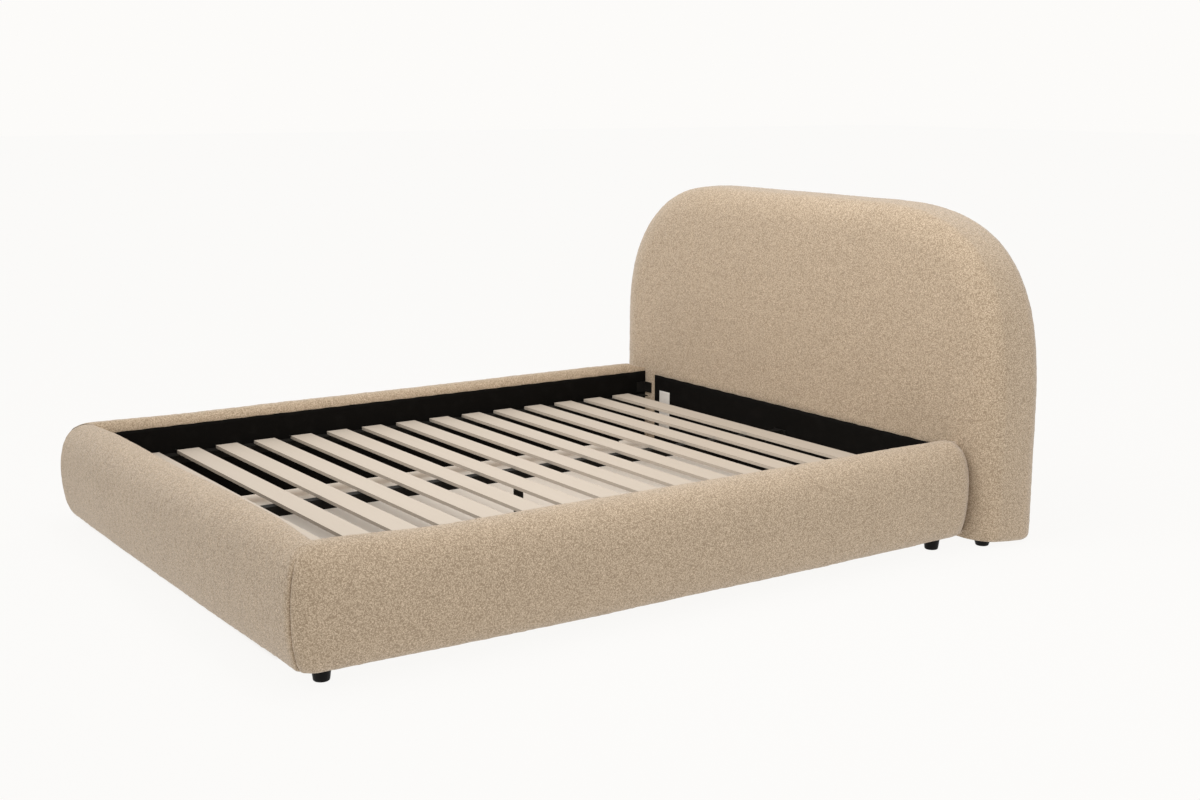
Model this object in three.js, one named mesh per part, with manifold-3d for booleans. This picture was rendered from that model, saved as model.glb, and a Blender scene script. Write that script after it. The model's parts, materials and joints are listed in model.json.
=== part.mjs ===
// Upholstered platform bed with an arched headboard, in millimetres.
// +Z is up, +Y points to the head, +X to the right-hand rail seen from the foot.
// The origin is on the floor, at the middle of the bed's length and width.
import * as THREE from "three";
import { mergeVertices } from "three/addons/utils/BufferGeometryUtils.js";
import Module from "manifold-3d";

const wasm = await Module();
wasm.setup();

// ---- driving dimensions ----
const GAP = 0.3; // air between pieces that touch

const MATTRESS_WIDTH = 1524;
const MATTRESS_LENGTH = 2032;
const SIDE_CLEARANCE = 13; // mattress to each side rail
const END_CLEARANCE = 10; // mattress to the foot rail and to the headboard

const FABRIC = 3; // looped pile fabric with its backing
const LINING = 1.5; // black non-woven cloth on the inner faces
const BOARD = 18; // rail boards

const SLAT_TOP = 212; // height of the sleeping deck above the floor
const SLAT_COUNT = 15;
const SLAT_WIDTH = 71;
const SLAT_THICKNESS = 10;
const SLAT_PITCH = 127.8;
const SLAT_END_CLEARANCE = 11.5; // slat end to the lining
const SLAT_SHIFT = 8.5; // the whole slat set lies this much nearer the head

const RAIL_DEPTH = 109; // inner face to the widest point of the padding
const RAIL_TOP = 315;
const RAIL_BOTTOM = 35;
const RAIL_WIDEST = 178; // height of the widest point
const RAIL_TUCK = 40; // how far the padding pulls in at the bottom
const RAIL_FULLNESS = 2.2; // exponent of the upper quarter: 2 is an ellipse, more is squarer
const CROWN_ROUND = 26; // rounding over the inner top edge
const RAIL_BOARD_DROP = 60; // board top below the crown
const CORNER_RADIUS = 66; // foot corners seen from above

const HEADBOARD_OVERHANG = 46; // how far it stands out past each side rail
const HEADBOARD_DEPTH = 253;
const HEADBOARD_TOP = 988;
const HEADBOARD_BOTTOM = 18;
const ARCH_RADIUS = 615; // reach of each upper corner
const ARCH_FULLNESS = 2.95; // exponent of the upper corners
const HEADBOARD_LOWER_CORNER = 75;
const HEADBOARD_EDGE = 66; // rounding between the front, the edge and the back
const FRONT_FOAM = 75;
const EDGE_FOAM = 40;
const FRONT_PANEL = 12;
const BACK_PANEL = 6;
const BACK_PANEL_STEP = 24; // the back panel ends this far inside the frame's outline
const BACK_FOAM = 20;
const TIMBER = 36; // thickness of the headboard's frame timbers
const POST_DROP = 348; // post top below the headboard's top
const POST_INSET = 42; // post to the inside of the edge foam, at the widest part
const TOP_RAIL_OVER = 105; // how far it reaches past each end of the arch's flat top
const TOP_RAIL_DROP = 6; // below the inside of the edge foam
const MID_RAIL_DROP = 170; // its middle below the tops of the posts
const BOTTOM_RAIL_HEIGHT = 95;
const BOTTOM_RAIL_TALL = 90;
const FRAME_RAISE = 28; // the frame stands this far above the bottom of the padding

const HEAD_LINING_TOP = 283;
const HEAD_LINING_MARGIN = 62; // bare fabric between its lining and each side rail

const STEEL = 3;
const LEDGE_LEG = 35; // both legs of the angle that carries the slat ends
const LEDGE_END_CLEARANCE = 12;
const BEAM = 30; // square tube under the middle of the slats
const BEAM_WALL = 1.5;
const HANGER_SHELF = 40;
const HANGER_WIDTH = 60;
const LEG_RADIUS = 15; // round leg under the middle of the beam
const LEG_SHIFT = -12; // the leg stands this far from the middle of the deck
const LEG_CAP = 8;
const LEG_CAP_RIM = 1.5;

const FOOT_RADIUS = 24;
const FOOT_BOTTOM_RADIUS = 20;
const FOOT_EDGE = 4;
const FRONT_FOOT_OUT = 31; // front foot centre from the inner face of its side rail
const FRONT_FOOT_INSET = 12; // the same along the foot rail
const REAR_FOOT_OUT = 43;
const REAR_FOOT_BACK = 116; // rail foot centre from the headboard's front
const HEADBOARD_FOOT_SIDE = 57; // headboard foot centre from its side edge
const HEADBOARD_FOOT_BACK = 40; // headboard foot centre behind its front

const HEAD_BRACKET = { leg: 40, tall: 38 };
const HEAD_BRACKET_DROP = 2; // its bottom below the slats' top
const CORNER_BRACKET = { leg: 60, tall: 60 };
const CORNER_BRACKET_DROP = 17; // its top below the ledge
const LABEL = { width: 62, thickness: 0.6, tall: 140 };
const LABEL_DROP = 55; // its top below the headboard lining's top
const LABEL_INSET = 32; // from the lining's end

// ---- places worked out from them ----
const INNER_HALF = MATTRESS_WIDTH / 2 + SIDE_CLEARANCE;
const INNER_LENGTH = MATTRESS_LENGTH + 2 * END_CLEARANCE;
const LENGTH = RAIL_DEPTH + INNER_LENGTH + HEADBOARD_DEPTH;
const FOOT_FACE = -LENGTH / 2;
const FOOT_INNER = FOOT_FACE + RAIL_DEPTH;
const HEAD_FRONT = FOOT_INNER + INNER_LENGTH;
const HEAD_BACK = LENGTH / 2;
const DECK_MIDDLE = (FOOT_INNER + HEAD_FRONT) / 2;
const SLAT_BOTTOM = SLAT_TOP - SLAT_THICKNESS;
const SUPPORT_TOP = SLAT_BOTTOM - GAP;
const BEAM_BOTTOM = SUPPORT_TOP - BEAM;
const HEAD_LINING_FACE = HEAD_FRONT - GAP - LINING;
const SKIN = FABRIC + GAP; // from the outside to the padding under the fabric
const RAIL_BOARD_TOP = RAIL_TOP - RAIL_BOARD_DROP;
const LINING_TOP = RAIL_TOP - CROWN_ROUND;
const HEADBOARD_WIDTH = 2 * (INNER_HALF + RAIL_DEPTH + HEADBOARD_OVERHANG);
const HEAD_LINING_HALF = INNER_HALF - HEAD_LINING_MARGIN;
const POST_TOP = HEADBOARD_TOP - POST_DROP;
const TOP_RAIL_HALF = HEADBOARD_WIDTH / 2 - ARCH_RADIUS + TOP_RAIL_OVER;
const MID_RAIL_HEIGHT = POST_TOP - MID_RAIL_DROP;

const MATERIALS = {
  fabric: surface("#b7a58d", 0.95, 0),
  foam: surface("#e9dfae", 0.9, 0),
  lining: surface("#131211", 0.95, 0),
  slat_wood: surface("#dccfbd", 0.6, 0),
  board_wood: surface("#c2a67c", 0.7, 0),
  black_steel: surface("#1d1d1f", 0.45, 0.6),
  black_plastic: surface("#161617", 0.5, 0),
  label_cloth: surface("#eceae6", 0.8, 0),
};

function surface(color, roughness, metalness) {
  return new THREE.MeshStandardMaterial({ color, roughness, metalness });
}

// ---- making solids ----
function box(x, y, z) {
  const sizes = [x, y, z].map(([low, high]) => high - low);
  const middle = [x, y, z].map(([low, high]) => (low + high) / 2);
  return new THREE.BoxGeometry(...sizes).translate(...middle);
}

function shapeOf(points, hole) {
  const shape = new THREE.Shape(points.map(([u, v]) => new THREE.Vector2(u, v)));
  if (hole) shape.holes.push(new THREE.Path(hole.map(([u, v]) => new THREE.Vector2(u, v))));
  return shape;
}

// A section drawn in x and z, run along y.
function alongY(points, from, to, hole) {
  const made = new THREE.ExtrudeGeometry(shapeOf(points, hole), {
    depth: to - from,
    bevelEnabled: false,
  });
  return made.rotateX(Math.PI / 2).translate(0, to, 0);
}

// A section drawn as distance out from the foot rail's inner face and z, run along x.
function acrossFoot(points, from, to) {
  const made = new THREE.ExtrudeGeometry(shapeOf(points), {
    depth: to - from,
    bevelEnabled: false,
  });
  return made
    .rotateX(Math.PI / 2)
    .rotateZ(-Math.PI / 2)
    .translate(to, FOOT_INNER, 0);
}

function solidFrom(geometry) {
  const bare = geometry.clone();
  bare.deleteAttribute("normal");
  bare.deleteAttribute("uv");
  const merged = mergeVertices(bare, 1e-4);
  const triVerts = new Uint32Array(merged.index.array);
  const vertProperties = merged.attributes.position.array;
  return new wasm.Manifold(new wasm.Mesh({ numProp: 3, vertProperties, triVerts }));
}

function geometryFrom(solid) {
  const mesh = solid.getMesh();
  const made = new THREE.BufferGeometry();
  const position = new THREE.BufferAttribute(new Float32Array(mesh.vertProperties), 3);
  made.setAttribute("position", position);
  made.setIndex(new THREE.BufferAttribute(new Uint32Array(mesh.triVerts), 1));
  const flat = made.toNonIndexed();
  flat.computeVertexNormals();
  return flat;
}

function common(a, b) {
  return geometryFrom(solidFrom(a).intersect(solidFrom(b)));
}

function cut(a, b) {
  return geometryFrom(solidFrom(a).subtract(solidFrom(b)));
}

function joined(a, b) {
  return geometryFrom(solidFrom(a).add(solidFrom(b)));
}

// A quarter of a superellipse: from the top of its height to the end of its width.
function quarter(width, height, fullness, steps) {
  const points = [];
  for (let i = 0; i <= steps; i++) {
    const turn = (i / steps) * (Math.PI / 2);
    const out = i === 0 ? 0 : Math.sin(turn) ** (2 / fullness);
    const up = i === steps ? 0 : Math.cos(turn) ** (2 / fullness);
    points.push([width * out, height * up]);
  }
  return points;
}

// ---- the tree of pieces ----
const bed = new THREE.Group();

function add(name, geometry, material, group = bed) {
  const mesh = new THREE.Mesh(geometry, MATERIALS[material]);
  mesh.name = name;
  group.add(mesh);
  return mesh;
}

// The same piece on the right, and mirrored on the left.
function addPair(name, geometry, material) {
  add(`${name}_right`, geometry, material);
  add(`${name}_left`, geometry, material).scale.x = -1;
}

// ---- rails ----

// The padded outline from the inner top edge over the crown and down to the tucked bottom.
// inset is measured in from the outside, innerFace from the rail's inner face.
function bolster(inset, innerFace) {
  const spring = RAIL_TOP - CROWN_ROUND;
  const inner = quarter(CROWN_ROUND - innerFace, CROWN_ROUND - inset, 2, 4)
    .reverse()
    .map(([u, v]) => [CROWN_ROUND - u, spring + v]);
  const upper = quarter(
    RAIL_DEPTH - CROWN_ROUND - inset,
    RAIL_TOP - RAIL_WIDEST - inset,
    RAIL_FULLNESS,
    8,
  ).map(([u, v]) => [CROWN_ROUND + u, RAIL_WIDEST + v]);
  const lower = quarter(RAIL_TUCK - inset, RAIL_WIDEST - RAIL_BOTTOM - inset, 2, 6)
    .reverse()
    .map(([u, v]) => [RAIL_DEPTH - RAIL_TUCK + u, RAIL_WIDEST - v]);
  return [...inner, ...upper.slice(1), ...lower.slice(1)];
}

const BOARD_FACE = LINING + GAP; // board's inner side, from the rail's inner face
const FLAP_BOTTOM = RAIL_BOARD_TOP + GAP;

function coverOutline() {
  return [...bolster(0, BOARD_FACE), [BOARD_FACE, RAIL_BOTTOM]];
}

// What the cover leaves free: the padding, and the board's place open to the inside.
function coverHollow() {
  const beyond = BOARD_FACE - FABRIC;
  const mouth = [
    [beyond, RAIL_BOTTOM + FABRIC],
    [beyond, FLAP_BOTTOM],
    [BOARD_FACE + FABRIC, FLAP_BOTTOM],
  ];
  return [...bolster(FABRIC, BOARD_FACE + FABRIC), ...mouth];
}

function foamSection() {
  const low = RAIL_BOTTOM + SKIN;
  const back = BOARD_FACE + BOARD + GAP;
  const notch = [
    [back, low],
    [back, FLAP_BOTTOM],
    [BOARD_FACE + SKIN, FLAP_BOTTOM],
  ];
  return [...bolster(SKIN, BOARD_FACE + SKIN), ...notch];
}

function rectangle(left, right, bottom, top) {
  return [
    [left, bottom],
    [right, bottom],
    [right, top],
    [left, top],
  ];
}

function shifted(points, by) {
  return points.map(([u, v]) => [u + by, v]);
}

// Everything inside the bed's plan, whose foot corners are round.
function roundedPlan(inset) {
  const half = INNER_HALF + RAIL_DEPTH - inset;
  const front = FOOT_FACE + inset;
  const radius = CORNER_RADIUS - inset;
  const plan = new THREE.Shape();
  plan.moveTo(-half, HEAD_BACK);
  plan.lineTo(-half, front + radius);
  plan.absarc(-half + radius, front + radius, radius, Math.PI, 1.5 * Math.PI, false);
  plan.lineTo(half - radius, front);
  plan.absarc(half - radius, front + radius, radius, 1.5 * Math.PI, 2 * Math.PI, false);
  plan.lineTo(half, HEAD_BACK);
  return new THREE.ExtrudeGeometry(plan, {
    depth: RAIL_TOP * 2,
    bevelEnabled: false,
    curveSegments: 6,
  });
}

// All that lies on one side of a foot corner's mitre, less half the gap.
// side is 1 at the right-hand corner and -1 at the left, keep is 1 for the rail and -1 for the foot.
function mitre(side, keep) {
  const nudge = (keep * GAP) / (2 * Math.SQRT2);
  const x = side * (INNER_HALF + nudge);
  const y = FOOT_INNER + nudge;
  const reach = LENGTH + HEADBOARD_WIDTH;
  const points = [
    [x - side * reach, y + reach],
    [x + side * reach, y - reach],
    [x + side * keep * reach, y + keep * reach],
  ];
  return new THREE.ExtrudeGeometry(shapeOf(points), {
    depth: RAIL_TOP * 2,
    bevelEnabled: false,
  });
}

// The three soft solids of a rail, from a function that runs a section along it.
function railCover(run) {
  const outside = common(run(coverOutline()), roundedPlan(0));
  return cut(outside, common(run(coverHollow()), roundedPlan(FABRIC)));
}

function railFoam(run) {
  return common(run(foamSection()), roundedPlan(SKIN));
}

function makeSideRails() {
  const end = HEAD_FRONT - GAP;
  const low = RAIL_BOTTOM + SKIN;
  const run = (section) => alongY(shifted(section, INNER_HALF), FOOT_FACE, end);
  const flat = (section) => alongY(shifted(section, INNER_HALF), FOOT_INNER, end);
  addPair("side_rail_cover", common(railCover(run), mitre(1, 1)), "fabric");
  addPair("side_rail_foam", common(railFoam(run), mitre(1, 1)), "foam");
  addPair("side_rail_board", flat(boardSection(low)), "board_wood");
  addPair("side_rail_lining", flat(rectangle(0, LINING, low, LINING_TOP)), "lining");
}

function makeFootRail() {
  const half = INNER_HALF + RAIL_DEPTH;
  const inside = INNER_HALF - GAP;
  const low = RAIL_BOTTOM + SKIN;
  const run = (section) => acrossFoot(section, -half, half);
  const flat = (section) => acrossFoot(section, -inside, inside);
  const between = (soft) => common(common(soft, mitre(1, -1)), mitre(-1, -1));
  add("foot_rail_cover", between(railCover(run)), "fabric");
  add("foot_rail_foam", between(railFoam(run)), "foam");
  add("foot_rail_board", flat(boardSection(low)), "board_wood");
  add("foot_rail_lining", flat(rectangle(0, LINING, low, LINING_TOP)), "lining");
}

function boardSection(low) {
  return rectangle(BOARD_FACE, BOARD_FACE + BOARD, low, RAIL_BOARD_TOP);
}

// ---- slats and steel ----
function makeSlats() {
  const half = INNER_HALF - SLAT_END_CLEARANCE;
  const across = [-half, half];
  for (let i = 0; i < SLAT_COUNT; i++) {
    const middle = DECK_MIDDLE + SLAT_SHIFT + (i - (SLAT_COUNT - 1) / 2) * SLAT_PITCH;
    const along = [middle - SLAT_WIDTH / 2, middle + SLAT_WIDTH / 2];
    const slat = box(across, along, [SLAT_BOTTOM, SLAT_TOP]);
    add(`slat_${String(i + 1).padStart(2, "0")}`, slat, "slat_wood");
  }
}

function makeLedges() {
  const outer = INNER_HALF - GAP;
  const section = [
    [outer - LEDGE_LEG, SUPPORT_TOP - STEEL],
    [outer - STEEL, SUPPORT_TOP - STEEL],
    [outer - STEEL, SUPPORT_TOP - LEDGE_LEG],
    [outer, SUPPORT_TOP - LEDGE_LEG],
    [outer, SUPPORT_TOP],
    [outer - LEDGE_LEG, SUPPORT_TOP],
  ];
  const from = FOOT_INNER + LEDGE_END_CLEARANCE;
  const to = HEAD_LINING_FACE - LEDGE_END_CLEARANCE;
  addPair("slat_ledge", alongY(section, from, to), "black_steel");
}

function makeCentreBeam() {
  const start = FOOT_INNER + GAP;
  const end = HEAD_LINING_FACE - GAP;
  const outside = rectangle(-BEAM / 2, BEAM / 2, BEAM_BOTTOM, SUPPORT_TOP);
  const inside = rectangle(
    -BEAM / 2 + BEAM_WALL,
    BEAM / 2 - BEAM_WALL,
    BEAM_BOTTOM + BEAM_WALL,
    SUPPORT_TOP - BEAM_WALL,
  );
  const from = start + STEEL + GAP;
  const to = end - STEEL - GAP;
  add("centre_beam", alongY(outside, from, to, inside), "black_steel");
  add("beam_hanger_foot", hanger(start, 1), "black_steel");
  add("beam_hanger_head", hanger(end, -1), "black_steel");
}

// An angle whose plate lies against an end face and whose shelf carries the beam.
function hanger(face, inward) {
  const shelfTop = BEAM_BOTTOM - GAP;
  const profile = [
    [0, shelfTop - STEEL],
    [HANGER_SHELF, shelfTop - STEEL],
    [HANGER_SHELF, shelfTop],
    [STEEL, shelfTop],
    [STEEL, SUPPORT_TOP],
    [0, SUPPORT_TOP],
  ];
  const made = new THREE.ExtrudeGeometry(shapeOf(profile), {
    depth: HANGER_WIDTH,
    bevelEnabled: false,
  });
  made
    .translate(0, 0, -HANGER_WIDTH / 2)
    .rotateX(Math.PI / 2)
    .rotateZ((inward * Math.PI) / 2);
  return made.translate(0, face, 0);
}

function makeCentreLeg() {
  const column = (radius, low, high) =>
    new THREE.CylinderGeometry(radius, radius, high - low, 24)
      .rotateX(Math.PI / 2)
      .translate(0, DECK_MIDDLE + LEG_SHIFT, (low + high) / 2);
  add("centre_leg", column(LEG_RADIUS, LEG_CAP + GAP, BEAM_BOTTOM - GAP), "black_steel");
  add("centre_leg_cap", column(LEG_RADIUS + LEG_CAP_RIM, 0, LEG_CAP), "black_plastic");
}

// An angle that ties the side rail to the piece at its end: one leg along each.
function angleBracket({ leg, tall }, bottom, endFace, inward) {
  const x = INNER_HALF - GAP;
  const face = endFace + inward * GAP;
  const points = [
    [x, face],
    [x - leg, face],
    [x - leg, face + inward * STEEL],
    [x - STEEL, face + inward * STEEL],
    [x - STEEL, face + inward * leg],
    [x, face + inward * leg],
  ];
  const outline = inward > 0 ? points.reverse() : points;
  return new THREE.ExtrudeGeometry(shapeOf(outline), {
    depth: tall,
    bevelEnabled: false,
  }).translate(0, 0, bottom);
}

function makeBrackets() {
  const cornerTop = SUPPORT_TOP - LEDGE_LEG - CORNER_BRACKET_DROP;
  const cornerBottom = cornerTop - CORNER_BRACKET.tall;
  const headBottom = SLAT_TOP - HEAD_BRACKET_DROP;
  const corner = angleBracket(CORNER_BRACKET, cornerBottom, FOOT_INNER, 1);
  const head = angleBracket(HEAD_BRACKET, headBottom, HEAD_FRONT, -1);
  addPair("foot_corner_bracket", corner, "black_steel");
  addPair("head_bracket", head, "black_steel");
}

// ---- feet ----
function footGeometry(height) {
  const profile = [new THREE.Vector2(0, 0)];
  for (let i = 0; i <= 3; i++) {
    const turn = (i / 3) * (Math.PI / 2);
    const out = FOOT_BOTTOM_RADIUS - FOOT_EDGE * (1 - Math.sin(turn));
    profile.push(new THREE.Vector2(out, FOOT_EDGE * (1 - Math.cos(turn))));
  }
  profile.push(new THREE.Vector2(FOOT_RADIUS, height));
  profile.push(new THREE.Vector2(0, height));
  return new THREE.LatheGeometry(profile, 24).rotateX(Math.PI / 2);
}

function makeFeet() {
  const headX = HEADBOARD_WIDTH / 2 - HEADBOARD_FOOT_SIDE;
  const railHeight = RAIL_BOTTOM - GAP;
  const headHeight = HEADBOARD_BOTTOM - GAP;
  const places = [
    ["front_foot", INNER_HALF + FRONT_FOOT_OUT, FOOT_INNER - FRONT_FOOT_INSET, railHeight],
    ["rear_foot", INNER_HALF + REAR_FOOT_OUT, HEAD_FRONT - REAR_FOOT_BACK, railHeight],
    ["headboard_foot", headX, HEAD_FRONT + HEADBOARD_FOOT_BACK, headHeight],
  ];
  for (const [name, x, y, height] of places) {
    addPair(name, footGeometry(height).translate(x, y, 0), "black_plastic");
  }
}

// ---- headboard ----

// The arched outline in x and z, this far inside the outer one.
function arch(inset, bottomRadius = HEADBOARD_LOWER_CORNER) {
  const half = HEADBOARD_WIDTH / 2 - inset;
  const flat = HEADBOARD_WIDTH / 2 - ARCH_RADIUS;
  const spring = HEADBOARD_TOP - ARCH_RADIUS;
  const reach = ARCH_RADIUS - inset;
  const low = HEADBOARD_BOTTOM + inset;
  const radius = Math.max(bottomRadius - inset, 0);
  const upper = quarter(reach, reach, ARCH_FULLNESS, 12).map(([u, v]) => [flat + u, spring + v]);
  const lower = quarter(radius, radius, 2, radius ? 4 : 1)
    .reverse()
    .map(([u, v]) => [half - radius + u, low + radius - v]);
  const right = [...upper, ...(radius ? lower : [[half, low]])];
  const left = right.map(([x, z]) => [-x, z]).reverse();
  return [...right, ...left];
}

// The headboard's whole padded form, this far inside the outside.
function padded(inset) {
  const edge = HEADBOARD_EDGE - inset;
  const made = new THREE.ExtrudeGeometry(shapeOf(arch(inset)), {
    depth: HEADBOARD_DEPTH - 2 * inset - 2 * edge,
    bevelEnabled: true,
    bevelSegments: 4,
    bevelSize: edge,
    bevelThickness: edge,
    bevelOffset: -edge,
  });
  return made.rotateX(Math.PI / 2).translate(0, HEAD_BACK - inset - edge, 0);
}

const FOAM_BACK = HEAD_FRONT + SKIN + FRONT_FOAM;
const FRAME_FRONT = FOAM_BACK + GAP + FRONT_PANEL + GAP;
const BACK_FOAM_FRONT = HEAD_BACK - SKIN - BACK_FOAM;
const FRAME_BACK = BACK_FOAM_FRONT - GAP - BACK_PANEL - GAP;
const FRAME_INSET = SKIN + EDGE_FOAM + GAP;
const FRAME_LOW = HEADBOARD_BOTTOM + SKIN + FRAME_RAISE;
const WELL = 4 * HEADBOARD_TOP; // larger than anything it trims

function makeHeadboardSoftParts() {
  const opening = box(
    [-HEADBOARD_WIDTH / 2 + HEADBOARD_LOWER_CORNER, HEADBOARD_WIDTH / 2 - HEADBOARD_LOWER_CORNER],
    [HEAD_FRONT + HEADBOARD_EDGE, HEAD_BACK - HEADBOARD_EDGE],
    [0, HEADBOARD_BOTTOM + 2 * FABRIC],
  );
  add("headboard_cover", cut(padded(0), joined(padded(FABRIC), opening)), "fabric");
  const dustCover = box(
    [-HEADBOARD_WIDTH / 2 + HEADBOARD_LOWER_CORNER + GAP, HEADBOARD_WIDTH / 2 - HEADBOARD_LOWER_CORNER - GAP],
    [HEAD_FRONT + HEADBOARD_EDGE + GAP, HEAD_BACK - HEADBOARD_EDGE - GAP],
    [HEADBOARD_BOTTOM + GAP, HEADBOARD_BOTTOM + GAP + LINING],
  );
  add("headboard_dust_cover", dustCover, "lining");
  const front = box([-WELL, WELL], [HEAD_FRONT, FOAM_BACK], [0, WELL]);
  add("headboard_front_foam", common(padded(SKIN), front), "foam");
  const behind = box([-WELL, WELL], [FOAM_BACK + GAP, HEAD_BACK], [0, WELL]);
  const core = alongY(lowered(arch(SKIN + EDGE_FOAM, 0)), HEAD_FRONT, HEAD_BACK);
  add("headboard_edge_foam", cut(common(padded(SKIN), behind), core), "foam");
}

// The outline with its bottom run carried well below the headboard.
function lowered(points) {
  return points.map(([x, z]) => (z < RAIL_BOTTOM + EDGE_FOAM * 2 ? [x, -WELL / 8] : [x, z]));
}

function makeHeadboardPanels() {
  const plate = (inset, from, thickness) => {
    const whole = alongY(lowered(arch(inset, 0)), from, from + thickness);
    return common(whole, box([-WELL, WELL], [from, from + thickness], [FRAME_LOW, WELL]));
  };
  const front = plate(FRAME_INSET, FOAM_BACK + GAP, FRONT_PANEL);
  const back = plate(FRAME_INSET + BACK_PANEL_STEP, FRAME_BACK + GAP, BACK_PANEL);
  const backFoam = common(plate(FRAME_INSET, BACK_FOAM_FRONT, BACK_FOAM), padded(SKIN));
  add("headboard_front_panel", front, "board_wood");
  add("headboard_back_panel", back, "board_wood");
  add("headboard_back_foam", backFoam, "foam");
}

function makeHeadboardFrame() {
  const deep = [FRAME_FRONT, FRAME_BACK];
  const outer = HEADBOARD_WIDTH / 2 - FRAME_INSET - POST_INSET;
  const inner = outer - TIMBER;
  const topHigh = HEADBOARD_TOP - FRAME_INSET - TOP_RAIL_DROP;
  const topLow = topHigh - TIMBER;
  const rail = (half, bottom, tall) => box([-half, half], deep, [bottom, bottom + tall]);
  addPair("headboard_post", box([inner, outer], deep, [FRAME_LOW, POST_TOP]), "board_wood");
  add("headboard_top_rail", rail(TOP_RAIL_HALF, topLow, TIMBER), "board_wood");
  add("headboard_middle_rail", rail(inner - GAP, MID_RAIL_HEIGHT, TIMBER), "board_wood");
  const bottomRail = rail(inner - GAP, BOTTOM_RAIL_HEIGHT, BOTTOM_RAIL_TALL);
  add("headboard_bottom_rail", bottomRail, "board_wood");
  // The strut runs from the top of the post to the end of the top rail.
  const strut = [
    [outer, POST_TOP + GAP],
    [TOP_RAIL_HALF + GAP, topHigh],
    [TOP_RAIL_HALF + GAP, topLow],
    [inner, POST_TOP + GAP],
  ];
  addPair("headboard_strut", alongY(strut, ...deep), "board_wood");
}

function makeHeadboardFront() {
  const lining = box(
    [-HEAD_LINING_HALF, HEAD_LINING_HALF],
    [HEAD_LINING_FACE, HEAD_FRONT - GAP],
    [RAIL_BOTTOM + SKIN, HEAD_LINING_TOP],
  );
  add("headboard_lining", lining, "lining");
  const back = HEAD_LINING_FACE - GAP;
  const left = -HEAD_LINING_HALF + LABEL_INSET;
  const labelTop = HEAD_LINING_TOP - LABEL_DROP;
  const label = box(
    [left, left + LABEL.width],
    [back - LABEL.thickness, back],
    [labelTop - LABEL.tall, labelTop],
  );
  add("care_label", label, "label_cloth");
}

makeSideRails();
makeFootRail();
makeSlats();
makeLedges();
makeCentreBeam();
makeCentreLeg();
makeBrackets();
makeFeet();
makeHeadboardSoftParts();
makeHeadboardPanels();
makeHeadboardFrame();
makeHeadboardFront();

export default bed;
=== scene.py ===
"""Upholstered platform bed: arched headboard, bolster rails, wood slats on steel, small round feet.

All lengths are in metres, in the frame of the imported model: +Z up, +Y to the head, +X to the right.
The fabric covers, linings and label are made here; wood, steel and plastic stay as packed and get
their finish here.
"""

import json
import math

import bpy
import numpy as np
from mathutils import Matrix, Vector


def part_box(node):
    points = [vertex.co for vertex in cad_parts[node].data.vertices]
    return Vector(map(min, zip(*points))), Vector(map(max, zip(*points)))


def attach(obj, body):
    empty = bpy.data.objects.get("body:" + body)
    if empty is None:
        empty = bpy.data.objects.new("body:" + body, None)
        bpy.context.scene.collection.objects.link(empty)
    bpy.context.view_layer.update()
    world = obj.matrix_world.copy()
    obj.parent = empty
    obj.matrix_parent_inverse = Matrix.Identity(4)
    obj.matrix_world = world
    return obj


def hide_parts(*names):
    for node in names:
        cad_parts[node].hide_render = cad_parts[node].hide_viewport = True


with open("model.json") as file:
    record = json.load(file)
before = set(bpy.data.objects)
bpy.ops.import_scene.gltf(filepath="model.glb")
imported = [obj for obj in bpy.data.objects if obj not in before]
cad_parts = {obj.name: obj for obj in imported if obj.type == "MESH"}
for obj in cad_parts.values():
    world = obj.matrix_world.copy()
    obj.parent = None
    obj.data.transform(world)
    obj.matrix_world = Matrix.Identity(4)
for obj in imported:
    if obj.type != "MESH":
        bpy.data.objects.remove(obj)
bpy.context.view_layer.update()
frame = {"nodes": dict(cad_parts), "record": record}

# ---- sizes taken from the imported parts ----
RIGHT_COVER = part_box("side_rail_cover_right")
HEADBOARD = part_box("headboard_cover")
SIDE_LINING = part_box("side_rail_lining_right")
FOOT_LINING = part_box("foot_rail_lining")

INNER_HALF = SIDE_LINING[0][0]  # middle of the bed to the inner face of a side rail
FOOT_INNER = FOOT_LINING[1][1]  # inner face of the foot rail
HEAD_END = RIGHT_COVER[1][1]  # where the side rails meet the headboard
RAIL_DEPTH = RIGHT_COVER[1][0] - INNER_HALF
RAIL_TOP = RIGHT_COVER[1][2]
RAIL_BOTTOM = RIGHT_COVER[0][2]
LINING_TOP = SIDE_LINING[1][2]
LINING_THICKNESS = SIDE_LINING[1][0] - SIDE_LINING[0][0]
HEAD_FRONT = HEADBOARD[0][1]
HEAD_BACK = HEADBOARD[1][1]
HEAD_HALF = HEADBOARD[1][0]
HEAD_TOP = HEADBOARD[1][2]
HEAD_BOTTOM = HEADBOARD[0][2]

# ---- shape of the padding ----
BEHIND_LINING = 0.0018  # how far the cover stands off a board's inner face
INNER_TUCK = 0.028  # how far it runs down there
STAPLE_LINE = 0.022  # and how far in from the inner face it ends under the board
INNER_HOLD = (0.003, 0.026)  # the fabric is held flat inside the first, free past the second
STAPLE_HOLD = 0.04  # and held flat this near the staples
CROWN_ROUND = RAIL_TOP - LINING_TOP  # rounding over a rail's inner top edge
RAIL_WIDEST = 0.178  # height of a rail's widest point
RAIL_TUCK = 0.040  # how far a rail pulls in at the bottom
RAIL_FULLNESS = 2.2
CORNER_RADIUS = 0.058  # foot corners seen from above
SEAM_ANGLE = math.radians(23)  # foot corner seam, round from the foot rail's face
SIDE_BOW = 0.015  # how far a side rail swells at mid-length
SIDE_SAG = 0.0045  # how far its bottom edge hangs there
SIDE_RISE = 0.002  # how much its crown stands over the plain section
FOOT_BOW = 0.005  # how far the foot rail swells
FOOT_RISE = 0.011  # how much its crown stands over the plain section
FOOT_RISE_RIGHT = 0.010  # and how much more towards its right end
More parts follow.
